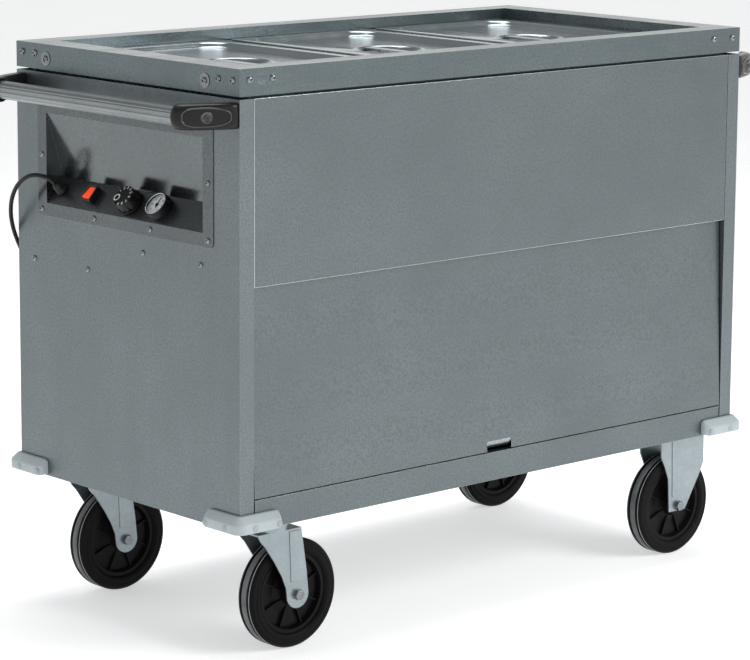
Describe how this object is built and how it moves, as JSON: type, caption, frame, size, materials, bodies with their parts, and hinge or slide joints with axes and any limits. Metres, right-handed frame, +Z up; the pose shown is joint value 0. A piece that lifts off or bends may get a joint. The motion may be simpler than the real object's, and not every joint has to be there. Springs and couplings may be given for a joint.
{
  "type": "steam table unit",
  "caption": "Mobile heated serving trolley: insulated stainless cabinet with lidded food wells, flap-door cupboard, sloping control recess, push bars, bumpers and swivel and fixed casters.",
  "frame": {"origin": "centre of the cabinet's footprint, on the floor", "axes": "+X along the long side away from the controls, -Y is the side with the flap door, +Z up"},
  "size_m": [1.456, 0.7005, 1.05],
  "materials": {
    "satin_steel": "satin grained stainless sheet",
    "bright_steel": "bright satin stainless sheet",
    "strip_steel": "satin stainless strip",
    "zinc_steel": "zinc plated pressed steel",
    "screw_steel": "polished stainless fasteners",
    "bar_aluminium": "ribbed anodised tube",
    "grey_plastic": "light grey moulded plastic",
    "black_plastic": "black moulded plastic",
    "knob_plastic": "black knob with white numerals",
    "red_lens": "lit orange-red rocker",
    "dial_white": "white printed dial",
    "clear_glass": "clear lens",
    "wheel_plastic": "dark moulded wheel centre",
    "tyre_rubber": "black solid rubber",
    "cord_rubber": "black flexible sheath",
    "mineral_wool": "pressed mineral wool board",
    "element_steel": "heat-tinted steel rod"
  },
  "bodies": {
    "cabinet": {"rim_frame": "satin_steel", "base_tray": "satin_steel", "control_end_panel": "satin_steel", "plain_end_panel": "satin_steel", "upper_front_panel": "satin_steel", "rear_panel": "satin_steel", "compartment_floor": "satin_steel", "control_housing": "satin_steel", "well_deck": "bright_steel", "well_tank": "bright_steel", "control_strip": "strip_steel", "swivel_plates": "zinc_steel", "rigid_forks": "zinc_steel", "rigid_axles": "zinc_steel", "caster_bolts": "zinc_steel", "cord_hook": "zinc_steel", "door_pivot_pins": "zinc_steel", "small_dome_screws": "screw_steel", "rim_dome_screws": "screw_steel", "push_bars": "bar_aluminium", "corner_bumpers": "grey_plastic", "switch_body": "black_plastic", "thermostat_body": "black_plastic", "gauge_case": "black_plastic", "cable_gland": "black_plastic", "terminal_box": "black_plastic", "push_bar_brackets": "black_plastic", "gauge_dial": "dial_white", "gauge_lens": "clear_glass", "mains_cord": "cord_rubber", "cord_coil": "cord_rubber", "mains_plug": "cord_rubber", "insulation_jacket": "mineral_wool", "heating_elements": "element_steel"},
    "service_door": {"service_door": "satin_steel"},
    "knob": {"thermostat_knob": "knob_plastic", "thermostat_spindle": "zinc_steel"},
    "rocker": {"switch_rocker": "red_lens"},
    "needle": {"gauge_needle": "black_plastic"},
    "pan_1": {"pan_1": "bright_steel"},
    "lid_1": {"lid_1": "bright_steel", "lid_handle_1": "bright_steel"},
    "pan_2": {"pan_2": "bright_steel"},
    "lid_2": {"lid_2": "bright_steel", "lid_handle_2": "bright_steel"},
    "pan_3": {"pan_3": "bright_steel"},
    "lid_3": {"lid_3": "bright_steel", "lid_handle_3": "bright_steel"},
    "swivel_front": {"swivel_fork_front": "zinc_steel", "swivel_axle_front": "zinc_steel"},
    "swivel_wheel_front": {"wheel_rim_swivel_front": "wheel_plastic", "tyre_swivel_front": "tyre_rubber"},
    "rigid_wheel_front": {"wheel_rim_rigid_front": "wheel_plastic", "tyre_rigid_front": "tyre_rubber"},
    "swivel_rear": {"swivel_fork_rear": "zinc_steel", "swivel_axle_rear": "zinc_steel"},
    "swivel_wheel_rear": {"wheel_rim_swivel_rear": "wheel_plastic", "tyre_swivel_rear": "tyre_rubber"},
    "rigid_wheel_rear": {"wheel_rim_rigid_rear": "wheel_plastic", "tyre_rigid_rear": "tyre_rubber"}
  },
  "joints": [
    {"name": "door_hinge", "type": "hinge", "parent": "cabinet", "child": "service_door", "pos_m": [0, -0.3055, 0.666], "axis": [-1, 0, 0], "range_deg": [0, 88]},
    {"name": "knob_turn", "type": "hinge", "parent": "cabinet", "child": "knob", "pos_m": [-0.6115, 0, 0.782], "axis": [0.7654, 0, -0.6436], "range_deg": [0, 270]},
    {"name": "rocker_tilt", "type": "hinge", "parent": "cabinet", "child": "rocker", "pos_m": [-0.61915, 0.114, 0.78844], "axis": [0, -1, 0], "range_deg": [0, 20]},
    {"name": "needle_turn", "type": "hinge", "parent": "cabinet", "child": "needle", "pos_m": [-0.6115, -0.086, 0.782], "axis": [0.7654, 0, -0.6436], "range_deg": [0, 270]},
    {"name": "pan_1_lift", "type": "slide", "parent": "cabinet", "child": "pan_1", "axis": [0, 0, 1], "range_m": [0, 0.25]},
    {"name": "lid_1_lift", "type": "slide", "parent": "pan_1", "child": "lid_1", "axis": [0, 0, 1], "range_m": [0, 0.25]},
    {"name": "pan_2_lift", "type": "slide", "parent": "cabinet", "child": "pan_2", "axis": [0, 0, 1], "range_m": [0, 0.25]},
    {"name": "lid_2_lift", "type": "slide", "parent": "pan_2", "child": "lid_2", "axis": [0, 0, 1], "range_m": [0, 0.25]},
    {"name": "pan_3_lift", "type": "slide", "parent": "cabinet", "child": "pan_3", "axis": [0, 0, 1], "range_m": [0, 0.25]},
    {"name": "lid_3_lift", "type": "slide", "parent": "pan_3", "child": "lid_3", "axis": [0, 0, 1], "range_m": [0, 0.25]},
    {"name": "front_swivel", "type": "hinge", "parent": "cabinet", "child": "swivel_front", "pos_m": [-0.508, -0.25, 0.2], "axis": [0, 0, 1], "continuous": true},
    {"name": "front_swivel_wheel_roll", "type": "hinge", "parent": "swivel_front", "child": "swivel_wheel_front", "pos_m": [-0.463, -0.25, 0.1], "axis": [0, 1, 0], "continuous": true},
    {"name": "front_rigid_wheel_roll", "type": "hinge", "parent": "cabinet", "child": "rigid_wheel_front", "pos_m": [0.53, -0.25, 0.1], "axis": [0, 1, 0], "continuous": true},
    {"name": "rear_swivel", "type": "hinge", "parent": "cabinet", "child": "swivel_rear", "pos_m": [-0.508, 0.25, 0.2], "axis": [0, 0, 1], "continuous": true},
    {"name": "rear_swivel_wheel_roll", "type": "hinge", "parent": "swivel_rear", "child": "swivel_wheel_rear", "pos_m": [-0.463, 0.25, 0.1], "axis": [0, 1, 0], "continuous": true},
    {"name": "rear_rigid_wheel_roll", "type": "hinge", "parent": "cabinet", "child": "rigid_wheel_rear", "pos_m": [0.53, 0.25, 0.1], "axis": [0, 1, 0], "continuous": true}
  ]
}
